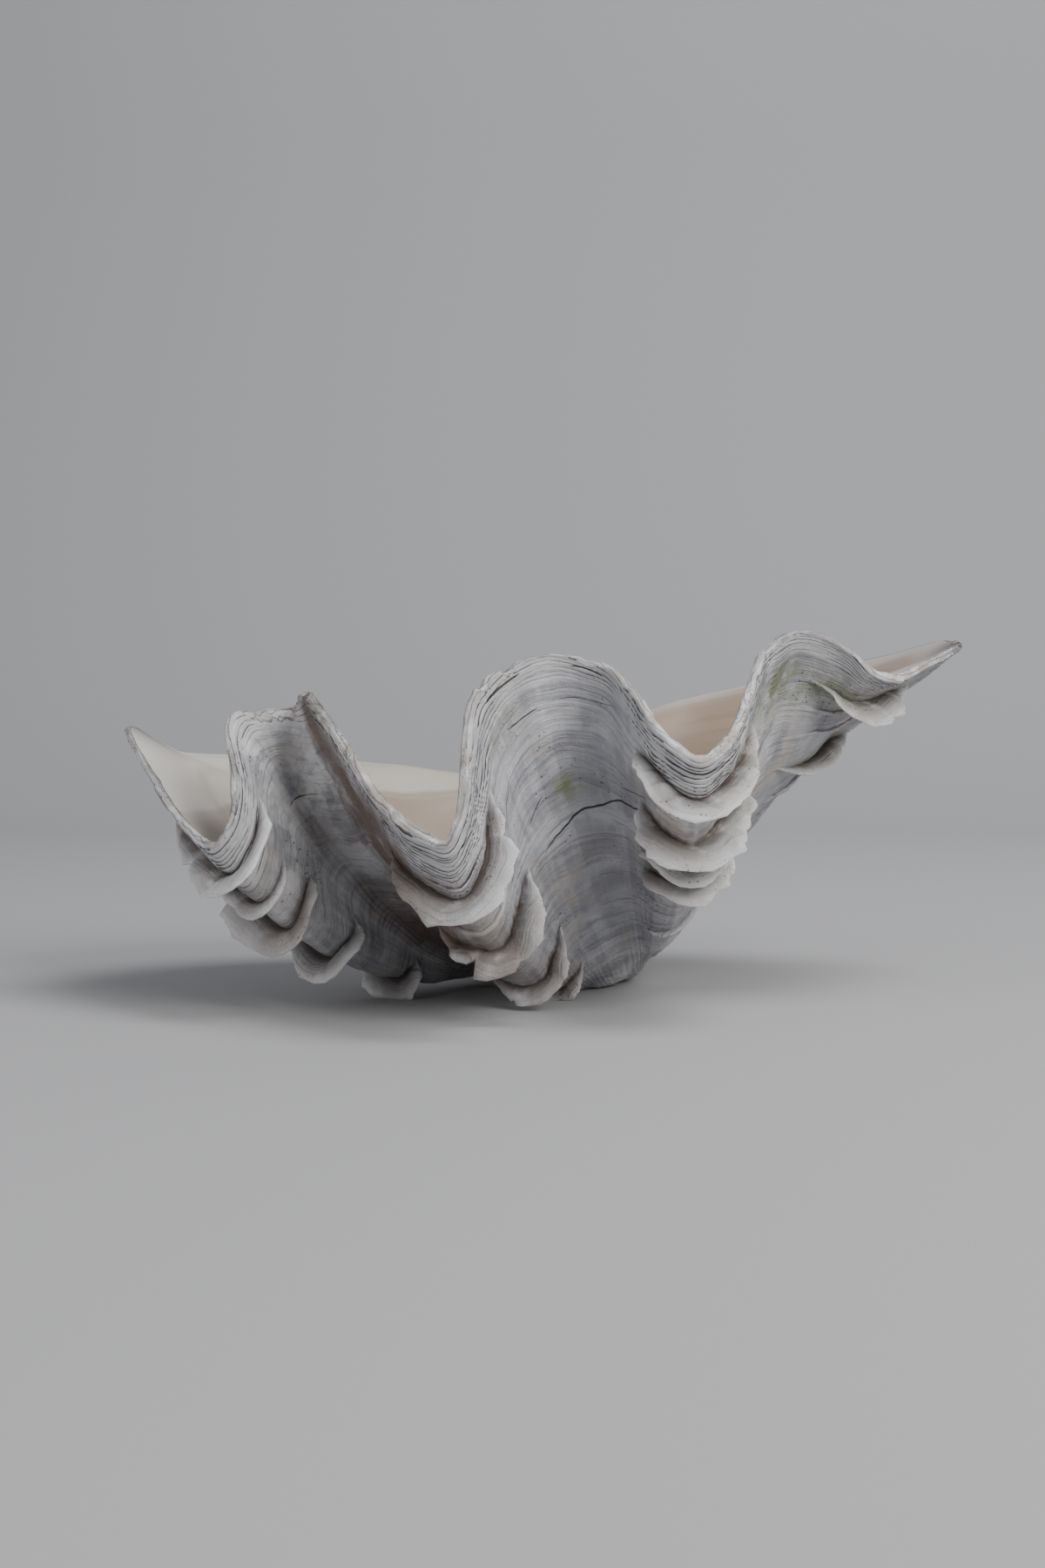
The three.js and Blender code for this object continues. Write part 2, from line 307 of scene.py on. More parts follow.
class MarginLoop:
    """The closed margin, measured in landmarks (t) and in millimetres along it."""

    SAMPLES = 40

    def __init__(self) -> None:
        """Samples the margin to measure the length along it."""
        self.names = list(MARGIN)
        self.count = len(self.names)
        self.points = np.array(list(MARGIN.values()), float)
        plain = {**{name: MARGIN[name] for name in PLAIN_NAMES}, **PLAIN_TIPS}
        self.plain_points = np.array([plain[name] for name in PLAIN_NAMES], float)
        self.fine_t = np.linspace(0, self.count, self.count * self.SAMPLES + 1)
        fine = self.curve(self.points, self.fine_t)
        steps = np.linalg.norm(np.diff(fine, axis=0), axis=1)
        self.fine_distance = np.concatenate([[0.0], np.cumsum(steps)])
        self.length = float(self.fine_distance[-1])

    @staticmethod
    def curve(points: Array, t: Array) -> Array:
        """Closed centripetal Catmull-Rom curve: cubic pieces through the points, whose
        tangents weigh neighbours by the square root of their distance.

        Args:
            points: (n, 3) in loop order.
            t: places in units of points, any real number.

        Returns:
            (len(t), 3) points on the curve.
        """
        count = len(points)
        first = np.floor(t).astype(int)
        w = (t - first)[:, None]
        p0, p1, p2, p3 = (points[(first + k) % count] for k in (-1, 0, 1, 2))

        def gap(a: Array, b: Array) -> Array:
            """Square root of the distance between two points."""
            return np.sqrt(np.linalg.norm(a - b, axis=1, keepdims=True))

        d0, d1, d2 = gap(p0, p1), gap(p1, p2), gap(p2, p3)
        leave = ((p1 - p0) / d0 - (p2 - p0) / (d0 + d1) + (p2 - p1) / d1) * d1
        arrive = ((p2 - p1) / d1 - (p3 - p1) / (d1 + d2) + (p3 - p2) / d2) * d1
        cubic = 2 * p1 - 2 * p2 + leave + arrive
        square = -3 * p1 + 3 * p2 - 2 * leave - arrive
        return p1 + leave * w + square * w**2 + cubic * w**3

    def distance_of(self, name: str) -> float:
        """Distance of a landmark along the margin, in mm."""
        return float(self.fine_distance[self.names.index(name) * self.SAMPLES])

    def place_at(self, distance: Array) -> Array:
        """Landmark place t of distances along the margin."""
        return np.interp(distance % self.length, self.fine_distance, self.fine_t)

    def gap_from(self, name: str, distance: Array) -> Array:
        """Signed distance from a landmark the short way round, in mm."""
        half = self.length / 2
        return (distance - self.distance_of(name) + half) % self.length - half

    def table_index(self, t: Array, names: tuple[str, ...]) -> Array:
        """Place of t between named landmarks, counted in those landmarks.

        Args:
            t: places along the margin in landmarks.
            names: the counted landmarks, in loop order.

        Returns:
            The place of each t among them.
        """
        stops = np.array([self.names.index(name) for name in names] + [0.0])
        stops[-1] = stops[0] + self.count
        return np.interp((t - stops[0]) % self.count + stops[0], stops, np.arange(len(stops)))

    def look_up(self, table: Table, t: Array) -> Array:
        """Table values at t, eased from each entry to the next by 3w^2 - 2w^3.

        Args:
            table: values by landmark, in loop order.
            t: places along the margin in landmarks.

        Returns:
            (len(t), k) values.
        """
        values = np.array(list(table.values()), float)
        index = self.table_index(t, tuple(table))
        first = np.floor(index).astype(int)
        w = (index - first)[:, None]
        w = w * w * (3 - 2 * w)
        count = len(values)
        return values[first % count] * (1 - w) + values[(first + 1) % count] * w

    def margin(self, t: Array) -> Array:
        """Margin points at t."""
        return self.curve(self.points, t)

    def plain(self, t: Array) -> Array:
        """Points of the plain loop at t."""
        return self.curve(self.plain_points, self.table_index(t, PLAIN_NAMES))


@dataclass
class Skin:
    """One skin of the valve down every column: its margin, plain loop, outward normal and
    belly corrections."""

    YOUNG_GAIN = 9.48  # makes the highest value of s^3 (1 - s) one

    law: GrowthLaw
    margin: Array
    plain: Array
    normal: Array
    belly: Array

    def grow(self, stage: Array) -> Array:
        """Points at growth stages: pole + s * turned(loop - pole, coil * -ln s), where the
        loop is the plain one blended to the fluted one by s^fade, plus belly corrections.

        Args:
            stage: (columns, rows) growth stages in (0, 1].

        Returns:
            (columns, rows, 3) points in mm.
        """
        law = self.law
        pole = np.array(law.pole)
        fluted = (stage**law.fade)[..., None]
        loop = self.plain[:, None] + fluted * (self.margin - self.plain)[:, None]
        loop = loop - self.normal[:, None] * (law.drawn_in * 4 * stage * (1 - stage))[..., None]
        points = pole + stage[..., None] * turned(loop - pole, law.axis(), -law.coil * np.log(stage))
        young = law.belly * stage**3 * (1 - stage) * self.YOUNG_GAIN
        middle = law.belly * (4 * stage * (1 - stage)) ** 2
        points[..., 0] += self.belly[:, 0:1] * young + self.belly[:, 2:3] * middle
        points[..., 2] += self.belly[:, 1:2] * young + self.belly[:, 3:4] * middle
        return points


@dataclass
class ClamValve:
    """The valve: sizes, growth and relief of its single closed surface, in millimetres."""

    DENSITY_SAMPLES = 4000
    BLUR_STEPS = 6

    outside: GrowthLaw = GrowthLaw((40, 162, 97), 1.15, 15, 2, 1, 0)
    inside: GrowthLaw = GrowthLaw((40, 150, 68), 0.75, 12, 1.8, 0.9, 8)
    scute_rows: tuple[ScuteRow, ...] = (
        ScuteRow((0.657, 0.603, 0.662, 0.662), (13, 7, 3, 3), (0, 20, 0, 0)),
        ScuteRow((0.788, 0.686, 0.783, 0.714), (15, 12, 15, 11), (0, 18, 0, 0)),
        ScuteRow((0.87, 0.808, 0.818, 0.8), (20, 16, 13, 2), (-6, 12, 0, 0)),
        ScuteRow((0.916, 0.86, 0.858, 0.86), (11, 2, 20, 2), (-16, 6, 0, 0)),
        ScuteRow((0.961, 0.924, 0.94, 0.893), (15, 18, 15, 16), (0, 3, 0, 2)),
    )
    chips: tuple[Chip, ...] = (
        Chip("fold2_top", 3, 32, 0.4, 5),
        Chip("fold2_prong", -3, 10, 0.6, 1.5),
        Chip("fold2_prong", 16, 18, 0.4, 3),
        Chip("fold3_shoulder", 8, 7, 1.6, 1),
        Chip("fold3_crown", 0, 8, 2.2, 1.5),
        Chip("fold3_top", 16, 9, 1.4, 1.5),
        Chip("fold4_shoulder", 2, 12, 1.2, 2),
        Chip("right_tip", -22, 5, 2, 1),
        Chip("right_tip", -12, 6, 4.5, 2),
        Chip("right_tip", -4, 4, 5),
        Chip("right_tip", 5, 5, 8),
        Chip("right_tip", 14, 7, 4),
        Chip("left_tip", -6, 5, 2.5),
        Chip("left_lobe", -4, 7, 1.4),
        Chip("rib1", -14, 6, 1.2),
        Chip("slope_mid", 4, 12, 0.8, 2),
    )
    cracks: tuple[Crack, ...] = (
        Crack("fold3_shoulder", 5, 112, (0.806, 0.858), 0.55),
        Crack("fold3_shoulder", 4, 28, (0.846, 0.866), 0.32),
        Crack("fold3_shoulder", -16, 3, (0.888, 0.902), 0.4),
        Crack("fold3_far", 2, 34, (0.862, 0.876), 0.3),
        Crack("fold3_crown", -14, 12, (0.944, 0.95), 0.4),
        Crack("fold3_crown", 10, 60, (0.952, 0.958), 0.25),
        Crack("fold3_shoulder", 2, 34, (0.986, 0.991), 0.6),
        Crack("fold3_top", 4, 26, (0.991, 0.989), 0.45),
        Crack("fold3_flank", -8, 14, (0.838, 0.85), 0.3),
        Crack("fold2_top", -22, 12, (0.9, 0.905), 0.28),
        Crack("fold4_shoulder", -6, 30, (0.945, 0.95), 0.35),
        Crack("rib2", -26, 26, (0.985, 0.983), 0.4),
        Crack("rib3", -24, 30, (0.98, 0.984), 0.45),
        Crack("rib3", -10, 36, (0.962, 0.965), 0.3),
    )
    patches: dict[Marking, tuple[Patch, ...]] = field(default_factory=lambda: {
        Marking.GREEN: (
            Patch("fold3_top", -8, 0.858, 12, 5, 0.9),
            Patch("fold3_shoulder", 8, 0.955, 16, 9, 0.5),
            Patch("fold4_shoulder", 4, 0.93, 24, 14, 0.9),
            Patch("fold4_top", 6, 0.9, 28, 12, 0.6),
            Patch("rib3_rise", 8, 0.9, 10, 16, 0.9),
            Patch("rib4", -6, 0.915, 26, 4, 0.8),
            Patch("fold4_flank", -4, 0.86, 9, 14, 0.9),
            Patch("rib4", 0, 0.735, 30, 5, 1),
            Patch("fold3_fall", 6, 0.8, 12, 10, 0.5),
        ),
        Marking.BROWN: (
            # Painted shade with a brown tint: the first five darken the second fold's valley and
            # slope; the rest are soil.
            Patch("slope_high", 4, 0.935, 40, 28, 1),
            Patch("fold2_prong", -2, 0.86, 26, 50, 1),
            Patch("fold2_dip", 14, 0.68, 50, 44, 1.3),
            Patch("slope_mid", 4, 0.85, 50, 40, 1.2),
            Patch("slope_mid", 4, 0.72, 64, 44, 1),
            Patch("rib1", -6, 0.935, 30, 6, 0.6),
            Patch("rib1", 12, 0.875, 22, 6, 0.8),
            Patch("fold2_top", -8, 0.86, 16, 14, 0.4),
            Patch("rib3_drop", -8, 0.8, 14, 24, 0.6),
            Patch("fold2_prong", -4, 0.985, 12, 8, 0.6),
            Patch("right_tip", 0, 1, 11, 10, 0.9),
            Patch("left_tip", -8, 0.97, 18, 14, 0.9),
        ),
        Marking.GREY: (
            Patch("fold2_top", 6, 0.975, 16, 8, 0.5),
            Patch("fold3_far", 0, 0.9, 30, 26, 0.9),
            Patch("fold3_top", 10, 0.72, 40, 30, 0.6),
            Patch("fold4_top", 4, 0.9, 34, 26, 0.55),
            Patch("right_tip", 0, 1, 16, 12, 1),
            Patch("left_tip", -6, 0.99, 14, 6, 1),
        ),
        Marking.PALE: (
            Patch("rib3", 0, 0.86, 46, 44, 1),
            Patch("rib2", 0, 0.88, 34, 30, 0.7),
            Patch("rib1", 4, 0.9, 30, 30, 0.8),
            Patch("fold2_shoulder", 0, 0.93, 30, 40, 0.6),
            # Painted light: this pale patch brightens the second fold's face below its dip.
            Patch("fold2_dip", 6, 0.91, 28, 40, 1.1),
            Patch("rib4", 0, 0.84, 40, 40, 0.7),
            Patch("fold4_shoulder", 6, 0.8, 36, 44, 0.8),
        ),
    })
    # Plates: half width of the root (growth stage), lean at root and lip (radians), flatness
    # of the sides, how fast they fall away round a rib, and raggedness of the lip.
    scute_root: float = 0.0043
    lean_root: float = 0.8
    lean_lip: float = -0.3
    scute_taper: float = 4.0
    scute_ear: float = 1.1
    lip_ragged: float = 0.2
    # Ripple of the plates' roots (growth stage), and the growth from beak to margin.
    stage_wander: float = 0.004
    rib_length: float = 400.0
    # Height in the margin's frame at which the resting underside is worn flat, rounding of
    # the broken edge, growth and leaves counted across it, and the run along the margin
    # over which the directions of the wall are averaged.
    resting_level: float = -2.0
    edge_rounding: float = 1.5
    rim_span: float = 6.0
    rim_leaves: float = 1.6
    normal_blur: float = 8.0
    # Wear of the edge, the reach at which a plate, its lip and the dirt and painted shade below
    # it count in full, flutter of the lips (share of the reach), and wander (growth stage),
    # spread and growth scale of the cracks.
    wear_depth: float = 0.6
    standing_reach: float = 8.0
    lip_reach: float = 6.0
    grime_reach: float = 9.0
    lip_flutter: float = 0.1
    crack_wander: float = 0.0022
    crack_spread: float = 4.0
    crack_scale: float = 0.8
    # Hinge teeth and the plate width that carries them in full, growth and swells of the
    # inner skin, and where the thin leaves under the edge begin (growth stage).
    tooth_height: float = 3.0
    toothed_plate: float = 14.0
    inner_growth: float = 0.955
    inner_swell: float = 0.6
    leaves_start: float = 0.975
    leaves_spread: float = 0.045
    leaves_blend: float = 0.012
    # Growth relief: pitch and height of laminae, leaves and riblets, growth lines on the
    # plates, and height of the lumps.
    lamina_pitch: float = 5.2
    lamina_step: float = 0.55
    leaf_pitch: float = 2.7
    plate_pitch: float = 4.5
    leaf_step: float = 0.75
    riblet_pitch: float = 8.5
    riblet_height: float = 0.22
    lump_height: float = 0.9
    # Step of growth for directions, and how fast root dirt and painted shade fade outward
    # and inward.
    growth_step: float = 0.004
    grime_fade: tuple[float, float] = (1.3, 0.4)
    # The grid: columns, their density along the back, rows between the plates, how they
    # draw together at the beak, and rows of the edge and the inner skin.
    columns: int = 404
    back_density: float = 0.42
    rows_between: tuple[int, ...] = (36, 15, 10, 7, 8, 38)
    beak_easing: float = 1.25
    edge_rows: int = 8
    inner_rows: int = 40
    loop: MarginLoop = field(default_factory=MarginLoop)

    def __post_init__(self) -> None:
        """Places the columns and works out what stays the same down each of them."""
        loop = self.loop
        self.distance = self._column_distances()
        self.t = loop.place_at(self.distance)
        samples = [self._wall_directions(self.distance + k * self.normal_blur) for k in (-1, 0, 1)]
        self.growth = unit(sum(sample[0] for sample in samples))
        self.normal = unit(sum(sample[1] for sample in samples))
        bare = self._bare_skin(self.t)
        thickness, below, plate = loop.look_up(EDGE, self.t).T
        lower = self.normal * (thickness * below)[:, None]
        upper = -self.normal * (thickness * (1 - below))[:, None]
        upper[:, 1] -= plate
        self.plate = plate
        self.outer = self._skin(self.outside, bare, lower)
        self.inner = self._skin(self.inside, bare, upper)
        angle = 2 * np.pi * self.distance / loop.length
        self.ring = np.stack([np.cos(angle), np.sin(angle)], -1) * loop.length / (2 * np.pi)

    def _column_distances(self) -> Array:
        """Places of the columns along the margin: sparse along the smooth back, closest at
        the broken second fold and at the right tip. The summed density is shared out evenly.

        Returns:
            (columns,) distances in mm.
        """
        place = np.linspace(0, self.loop.length, self.DENSITY_SAMPLES)
        density = np.where(place < self.loop.distance_of("right_tip"), 1.0, self.back_density)
        for name, (width, extra) in CLOSER.items():
            density = density + extra * np.exp(-((self.loop.gap_from(name, place) / width) ** 2))
        total = np.concatenate([[0.0], np.cumsum((density[1:] + density[:-1]) / 2)])
        return np.interp(np.arange(self.columns) / self.columns * total[-1], total, place)

    def _bare_skin(self, t: Array) -> Skin:
        """Outer skin at places t before the edge has its thickness.

        Args:
            t: places along the margin in landmarks.

        Returns:
            The skin, with no normals.
        """
        loop = self.loop
        margin = loop.margin(t)
        return Skin(self.outside, margin, loop.plain(t), 0 * margin, loop.look_up(BELLY, t))

    def _skin(self, law: GrowthLaw, bare: Skin, shift: Array) -> Skin:
        """A skin whose loops are moved by a shift per column."""
        return Skin(law, bare.margin + shift, bare.plain + shift, self.normal, bare.belly)

    def _past(self, name: str, offset: float = 0) -> Array:
        """How far each column lies past a landmark and an offset from it, in mm."""
        return self.loop.gap_from(name, self.distance) - offset

    def _wall_directions(self, distance: Array) -> tuple[Array, Array]:
        """Directions of the wall at its margin.

        Args:
            distance: places along the margin in mm.

        Returns:
            Unit growth directions and unit outward normals.
        """
        step, reach = 0.015, 0.5
        t = self.loop.place_at(distance)
        ends = self._bare_skin(t).grow(np.broadcast_to([1 - step, 1.0], (len(t), 2)))
        growth = unit(ends[:, 1] - ends[:, 0])
        ahead = self.loop.margin(self.loop.place_at(distance + reach))
        behind = self.loop.margin(self.loop.place_at(distance - reach))
        return growth, unit(np.cross(ahead - behind, growth))

    def _edge_loss(self) -> tuple[Array, Array]:
        """Share of growth broken off the two skins: fine ragged wear plus the named chips,
        each a flat-bottomed bite exp(-(x / half width)^4).

        Returns:
            The share lost by the outer and by the inner skin, each (columns,).
        """
        wear = 0.5 + 0.5 * wander(self.ring, 12, 11) + 0.35 * wander(self.ring, 4.5, 12)
        outer = self.wear_depth * np.clip(wear, 0, None)
        inner = outer.copy()
        for chip in self.chips:
            away = self._past(chip.near, chip.offset) / (chip.width / 2)
            bite = np.exp(-(away**4)) * (1 + 0.2 * wander(self.ring, 5, 13))
            inner = inner + chip.depth * bite
            outer = outer + (chip.depth + chip.bevel) * bite
        return outer / self.rib_length, inner / self.rib_length

    def _scute_stage(self, row: ScuteRow, seed: int) -> Array:
        """Growth stage of a row's roots, with a slow ripple.

        Args:
            row: the row of scutes.
            seed: its number, which fixes the ripple.

        Returns:
            (columns,) growth stages.
        """
        table = {rib.value[0]: (stage,) for rib, stage in zip(Rib, row.stage)}
        ripple = self.stage_wander * wander(self.ring, 45, seed)
        return self.loop.look_up(table, self.t)[:, 0] + ripple

    def _scute_reach(self, row: ScuteRow, seed: int) -> Array:
        """Reach of a row's plates: full on each crest, falling to nothing round the rib by
        (1 - x^2)^ear, with a lip of broken points, small teeth and a few deep nicks.

        Args:
            row: the row of scutes.
            seed: its number, which fixes the lip.

        Returns:
            (columns,) reaches in mm.
        """
        reach = np.zeros(self.columns)
        for rib, full, shift in zip(Rib, row.reach, row.shift):
            name, before, after = rib.value
            gap = self._past(name, shift)
            share = np.where(gap < 0, gap / before, gap / after)
            reach += full * np.clip(1 - share**2, 0, None) ** self.scute_ear
        pointed = 0.7 - 1.1 * np.abs(wander(self.ring, 30, seed + 50))
        ragged = pointed + 0.3 * wander(self.ring, 7, seed + 60)
        nick = np.clip(wander(self.ring, 13, seed + 70) - 1, 0, None)
        return reach * np.clip(1 + self.lip_ragged * ragged - 0.8 * nick, 0.4, 1.3)

    def _across_plate(self) -> Array:
        """Places of the rows across a plate, -1 to 1: evenly spaced in height up each side,
        and three that round its lip."""
        side = (1 - np.linspace(0, 1, 7)[:-1]) ** (1 / self.scute_taper)
        return np.concatenate([-side, [-0.35, 0, 0.35], side[::-1]])

    def _stages(self) -> tuple[Array, ...]:
        """Rows of the outer skin from beak to margin.

        Returns:
            Growth stage, scute reach, share of plate height and place across the plate
            (-1 beak side, 1 margin side), each (columns, rows).
        """
        none = np.zeros(self.columns)
        rows, reached = [], none
        for k, row in enumerate(self.scute_rows):
            root, reach = self._scute_stage(row, k), self._scute_reach(row, k)
            count = self.rows_between[k]
            for share in (np.arange(count) + 1) / (count + 1):
                share = share**self.beak_easing if k == 0 else share
                rows.append((reached + (root - self.scute_root - reached) * share, none, none, none))
            for side in self._across_plate():
                height = 1 - abs(side) ** self.scute_taper
                rows.append((root + self.scute_root * side, reach, none + height, none + side))
            reached = root + self.scute_root
        last = 1 - self._edge_loss()[0]
        count = self.rows_between[-1]
        for share in (np.arange(count) + 1) / count:
            rows.append((reached + (last - reached) * share, none, none, none))
        return tuple(np.stack(values, 1) for values in zip(*rows))

    def _phases(self, stage: Array, base: Array) -> tuple[Array, Array, Array]:
        """Growth lines passed: the growth coordinate, bent by slow noise, over an uneven pitch.

        Args:
            stage: (columns, rows) growth stages.
            base: (columns, rows, 3) smooth points.

        Returns:
            Bent growth coordinate in mm, count of laminae, count of the edge's thin leaves.
        """
        along = stage * self.rib_length
        bent = along + 3.2 * wander(base, 80, 21) + 0.7 * wander(base, 24, 22)
        ring = np.broadcast_to(self.ring[:, None], stage.shape + (2,)) * 0.1
        uneven = wander(np.concatenate([bent[..., None], ring], -1), 13, 26)
        return bent, bent / self.lamina_pitch + 0.45 * uneven, bent / self.leaf_pitch + 0.55 * uneven

    def _near_edge(self, stage: Array) -> Array:
        """Where thin leaves crowd: the last of the growth, widest at the crowded places, each
        spreading as exp(-(x / width)^2).

        Args:
            stage: (columns, rows) growth stages.

        Returns:
            (columns, rows) shares, 1 among the leaves.
        """
        crowd = sum(np.exp(-((self._past(name) / width) ** 2)) for name, width in CROWDED.items())
        start = self.leaves_start - self.leaves_spread * np.clip(crowd, 0, 1)[:, None]
        return np.clip((stage - start) / self.leaves_blend, 0, 1)

    def _relief(self, stage: Array, base: Array, laminae: Array, leaves: Array) -> Array:
        """Height of the growth relief on the outer skin: saw-tooth laminae that step down
        towards the margin, crowded near it, faint riblets across them and slow lumps.

        Args:
            stage: (columns, rows) growth stages.
            base: (columns, rows, 3) smooth points.
            laminae: laminae counted up to each point.
            leaves: thin leaves counted up to each point.

        Returns:
            Heights along the outward normal, mm.
        """
        near_edge = self._near_edge(stage)
        patch = 0.55 + 0.45 * wander(base, 35, 23)
        height = self.lamina_step * (laminae % 1) ** 1.5 * patch * (1 - near_edge)
        height += self.leaf_step * near_edge * ((leaves % 1) ** 1.3 - 0.5)
        pitch = self.distance[:, None] / self.riblet_pitch + 0.35 * wander(base, 60, 24)
        height += self.riblet_height * np.sin(2 * np.pi * pitch) * (1 - near_edge)
        height += self.lump_height * wander(base, 42, 25) * (1 - 0.6 * near_edge)
        return height * np.clip(stage / 0.25, 0, 1)

    def _outer_rows(self) -> tuple[Array, dict[str, Array]]:
        """Outer skin with relief and scutes.

        Returns:
            (columns, rows, 3) points and the painted values by name.
        """
        stage, reach, height, across = self._stages()
        base = self.outer.grow(stage)
        growth = unit(base - self.outer.grow(stage - self.growth_step))
        normal = normals(base, growth)
        bent, laminae, leaves = self._phases(stage, base)
        solid = np.clip(reach / self.standing_reach, 0, 1)
        bare = 1 - solid * height
        relief = self._relief(stage, base, laminae, leaves) * bare
        lean = self.lean_root + (self.lean_lip - self.lean_root) * height
        sweep = self.lean_root - self.lean_lip
        out = reach * (np.sin(self.lean_root) - np.sin(lean)) / sweep
        forward = reach * (np.cos(lean) - np.cos(self.lean_root)) / sweep
        flutter = self.lip_flutter * reach * height * wander(base, 26, 31)
        points = base + normal * relief[..., None]
        points = points + normal * out[..., None] + growth * (forward + flutter)[..., None]
        crack, gape = self._crack_lines(stage)
        paint = {
            "growth": (bent + reach * height) * MM,
            "lamina": laminae + reach * height / self.plate_pitch,
            "leaf": leaves,
            "crowd": self._near_edge(stage) * bare,
            "lip": np.clip(reach / self.lip_reach, 0, 1) * height**4,
            "cup": solid * np.clip(across * 3, 0, 1) * height,
            # Dirt and painted shade in the crease under each scute's root.
            "grime_and_shade": self._root_grime(stage),
            "crack": crack,
            "gape": gape * bare,
            "inside": np.zeros_like(stage),
            "edge": np.zeros_like(stage),
            **{kind.value: self._marking_strength(stage, kind) for kind in Marking},
        }
        return points, paint

    def _crack_lines(self, stage: Array) -> tuple[Array, Array]:
        """Distance from the cracks, each a line of growth from its first stage to its last,
        that wanders and tapers as 1 - x^4 towards both ends.

        Args:
            stage: (columns, rows) growth stages.

        Returns:
            Signed distance across the nearest crack, and that crack's half width, in mm; the
            half width is negative far from a crack and past its ends.
        """
        nearest, gape = np.full(stage.shape, 1e3), np.full(stage.shape, -1.0)
        for number, crack in enumerate(self.cracks):
            share = self._past(crack.near, crack.start) / (crack.end - crack.start)
            line = crack.stages[0] + (crack.stages[1] - crack.stages[0]) * share
            line = line + self.crack_wander * wander(self.ring, 34, 80 + number)
            width = crack.half_width * (1 - (2 * share - 1) ** 4)
            width = np.where((share > 0) & (share < 1), width, -1)[:, None]
            away = (stage - line[:, None]) * self.rib_length * self.crack_scale
            closer = (np.abs(away) < np.abs(nearest)) & (width > 0)
            nearest = np.where(closer, away, nearest)
            gape = np.where(closer & (np.abs(away) < self.crack_spread), width, gape)
        return np.clip(nearest, -5, 5), gape

    def _marking_strength(self, stage: Array, kind: Marking) -> Array:
        """Strength of one kind of mark: a sum of soft oval patches exp(-x^2 - y^2).

        Args:
            stage: (columns, rows) growth stages.
            kind: the kind of mark.

        Returns:
            (columns, rows) strengths.
        """
        total = np.zeros_like(stage)
        for patch in self.patches[kind]:
            along = self._past(patch.near, patch.offset) / patch.length
            across = (stage - patch.stage) * self.rib_length / patch.width
            total += patch.strength * np.exp(-(along[:, None] ** 2) - across**2)
        return total

    def _root_grime(self, stage: Array) -> Array:
        """Dirt and painted shade in a line on the margin side of each scute's root, in the crease
        under the plate, fading by exp(-x) away from it.

        Args:
            stage: (columns, rows) growth stages.

        Returns:
            (columns, rows) strengths.
        """
        grime_and_shade = np.zeros_like(stage)
        outward, inward = self.grime_fade
        for k, row in enumerate(self.scute_rows):
            root = (self._scute_stage(row, k) + self.scute_root)[:, None]
            after = (stage - root) * self.rib_length
            fade = np.where(after > 0, np.exp(-after / outward), np.exp(after / inward))
            reach = self._scute_reach(row, k)[:, None]
            grime_and_shade = np.maximum(grime_and_shade, np.clip(reach / self.grime_reach, 0, 1) * fade)
        return grime_and_shade

    def _edge_points(self, first: Array, last: Array) -> Array:
        """Rounded broken edge: half a turn from the outer to the inner skin, bulging along
        the growth direction, with a gritty surface and low hinge teeth on the plate.

        Args:
            first: (columns, 3) last points of the outer skin.
            last: (columns, 3) first points of the inner skin.

        Returns:
            (columns, edge_rows, 3) points between them.
        """
        turn = np.linspace(0, np.pi, self.edge_rows + 2)[1:-1]
        across = last - first
        share = (1 - np.cos(turn)) / 2
        points = first[:, None] + across[:, None] * share[None, :, None]
        round_off = np.minimum(np.linalg.norm(across, axis=1) / 3, self.edge_rounding)
        bulge = round_off[:, None] * np.sin(turn) ** 0.6
        grit = 0.4 * wander(points, 7, 41) + 0.35 * wander(points, 3.2, 42)
        toothed = np.clip(self.plate / self.toothed_plate, 0, 1)[:, None]
        teeth = self.tooth_height * toothed * np.sin(turn * 3) ** 2 * np.sin(turn)
        return points + self.growth[:, None] * (bulge + grit + teeth)[..., None]

    def _inner_points(self) -> Array:
        """Inner skin from edge to pocket, with faint swells along the shell.

        Returns:
            (columns, inner_rows, 3) points.
        """
        share = np.linspace(0, 1, self.inner_rows) ** 0.9
        stage = 1 - self._edge_loss()[1][:, None] - share[None, :] * self.inner_growth
        points = self.inner.grow(stage)
        growth = unit(points - self.inner.grow(stage - self.growth_step))
        swell = self.inner_swell * wander(points, 55, 51) * np.clip(share * 6, 0, 1)[None, :]
        return points + normals(points, growth) * swell[..., None]

    def surface(self) -> tuple[Array, dict[str, Array]]:
        """The whole grid from the first ring about the beak to the last about the pocket.

        Returns:
            (columns, rows, 3) points in mm and painted values, each (columns, rows).
        """
        outer, paint = self._outer_rows()
        inner = self._inner_points()
        edge = self._edge_points(outer[:, -1], inner[:, 0])
        around, within = edge.shape[1], inner.shape[1]
        rim = np.repeat([1.0, 0.0], [around, within])
        span = self.rib_length * MM
        climb = [np.linspace(0, self.rim_span * MM, around), -np.linspace(0, 1, within) * span]
        rows = {
            "growth": span + np.concatenate(climb),
            "inside": 1 - rim,
            "edge": rim,
            "crowd": 0.7 * rim,
            "gape": -np.ones_like(rim),
            "cup": 0 * rim,
            "lip": 0 * rim,
        }
        fade = np.concatenate([np.ones(around), np.linspace(1, 0, 4), np.zeros(within - 4)])
        tail = {name: values[:, -1:] * fade for name, values in paint.items()}
        tail["leaf"][:, :around] += np.linspace(0, self.rim_leaves, around)
        tail |= {name: np.tile(row, (self.columns, 1)) for name, row in rows.items()}
        paint = {name: np.concatenate([values, tail[name]], 1) for name, values in paint.items()}
        points = np.concatenate([outer, edge, inner], 1)
        # Depth below the surroundings, which darkens the hollows with dirt and painted shade.
        paint["hollow"] = self._hollows(points)
        return points, paint

